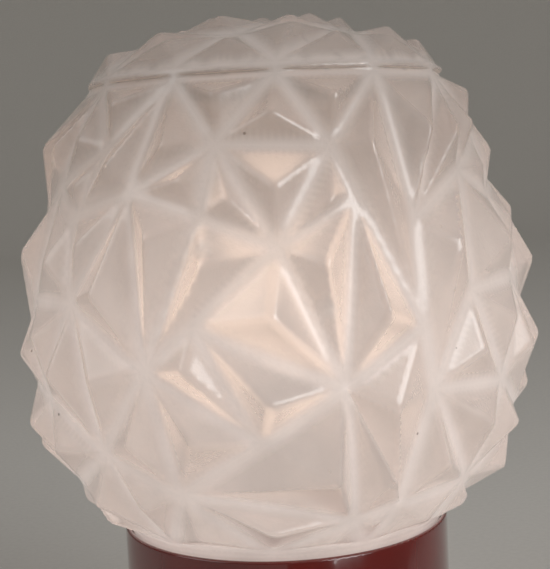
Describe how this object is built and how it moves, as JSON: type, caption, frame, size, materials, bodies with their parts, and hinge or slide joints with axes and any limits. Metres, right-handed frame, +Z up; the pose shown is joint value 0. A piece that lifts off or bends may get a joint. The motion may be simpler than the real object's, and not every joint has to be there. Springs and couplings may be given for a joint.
{
  "type": "table lamp",
  "caption": "Table lamp: a faceted opal glass shade with triangular pyramids, lit from inside, standing in a round gloss red drum base.",
  "frame": {"origin": "centre of the lamp's foot on the table", "axes": "+Z up along the lamp's axis; -Y is the front; the switch and the cord inlet are at +Y"},
  "size_m": [0.1893, 0.1905, 0.263],
  "materials": {
    "opal_glass": "satin opal glass, lit warm white",
    "red_lacquer": "high gloss red lacquer on steel",
    "zinc_steel": "zinc-plated steel",
    "cast_iron": "as cast, painted dark grey",
    "felt_rubber": "matt sponge rubber",
    "black_rubber": "matt",
    "brass": "bright turned brass",
    "bakelite": "dark brown moulded bakelite",
    "porcelain": "glazed white porcelain",
    "bulb_glass": "inside-frosted bulb glass",
    "bulb_clear_glass": "clear glass",
    "nickel": "bright nickel-plated sheet",
    "black_glass": "fused black glass",
    "solder": "dull tin solder",
    "wire_metal": "nickel wire",
    "tungsten": "glowing tungsten coil",
    "white_nylon": "natural nylon",
    "black_plastic": "moulded black plastic",
    "red_plastic": "moulded red plastic",
    "brown_pvc": "brown wire sleeve",
    "blue_pvc": "blue wire sleeve",
    "green_pvc": "green and yellow wire sleeve"
  },
  "bodies": {
    "base": {"drum_shell": "red_lacquer", "gallery_brackets": "zinc_steel", "gallery_plate": "zinc_steel", "shade_gasket": "felt_rubber", "base_plate": "zinc_steel", "rubber_feet": "black_rubber", "ballast_disc": "cast_iron", "stem_tube": "brass", "stem_nuts": "brass", "stem_washers": "zinc_steel", "lampholder_cap": "bakelite", "lampholder_insert": "porcelain", "lampholder_body": "bakelite", "lampholder_shell": "brass", "lampholder_contact": "brass", "lampholder_screws": "brass", "terminal_block": "white_nylon", "terminal_screws": "brass", "terminal_fixing_screw": "zinc_steel", "switch_body": "black_plastic", "switch_tabs": "brass", "cord_bush": "black_rubber", "cord_clamp": "white_nylon", "clamp_screws": "zinc_steel", "live_lead": "brown_pvc", "neutral_lead": "blue_pvc", "switch_lead": "brown_pvc", "earth_lead": "green_pvc", "earth_tag": "zinc_steel"},
    "shade": {"shade_glass": "opal_glass"},
    "bulb_tip": {"bulb_contact": "solder"},
    "bulb": {"bulb_glass": "bulb_glass", "bulb_cap": "nickel", "bulb_insulator": "black_glass", "bulb_mount": "bulb_clear_glass", "bulb_leads": "wire_metal", "bulb_supports": "wire_metal", "bulb_filament": "tungsten"},
    "rocker": {"switch_rocker": "red_plastic"}
  },
  "joints": [
    {"name": "shade_lift", "type": "slide", "parent": "base", "child": "shade", "axis": [0, 0, 1], "range_m": [0, 0.15]},
    {"name": "bulb_lift", "type": "slide", "parent": "base", "child": "bulb_tip", "axis": [0, 0, 1], "range_m": [0, 0.0182]},
    {"name": "bulb_turn", "type": "hinge", "parent": "bulb_tip", "child": "bulb", "pos_m": [0, 0, 0.09], "axis": [0, 0, 1], "range_deg": [0, 1800]},
    {"name": "switch_rock", "type": "hinge", "parent": "base", "child": "rocker", "pos_m": [0, 0.0575, 0.041], "axis": [1, 0, 0], "range_deg": [-20, 0]}
  ],
  "couplings": [
    {"joint": "bulb_lift", "follows": "bulb_turn", "m_per_rad": 0.00057757}
  ]
}
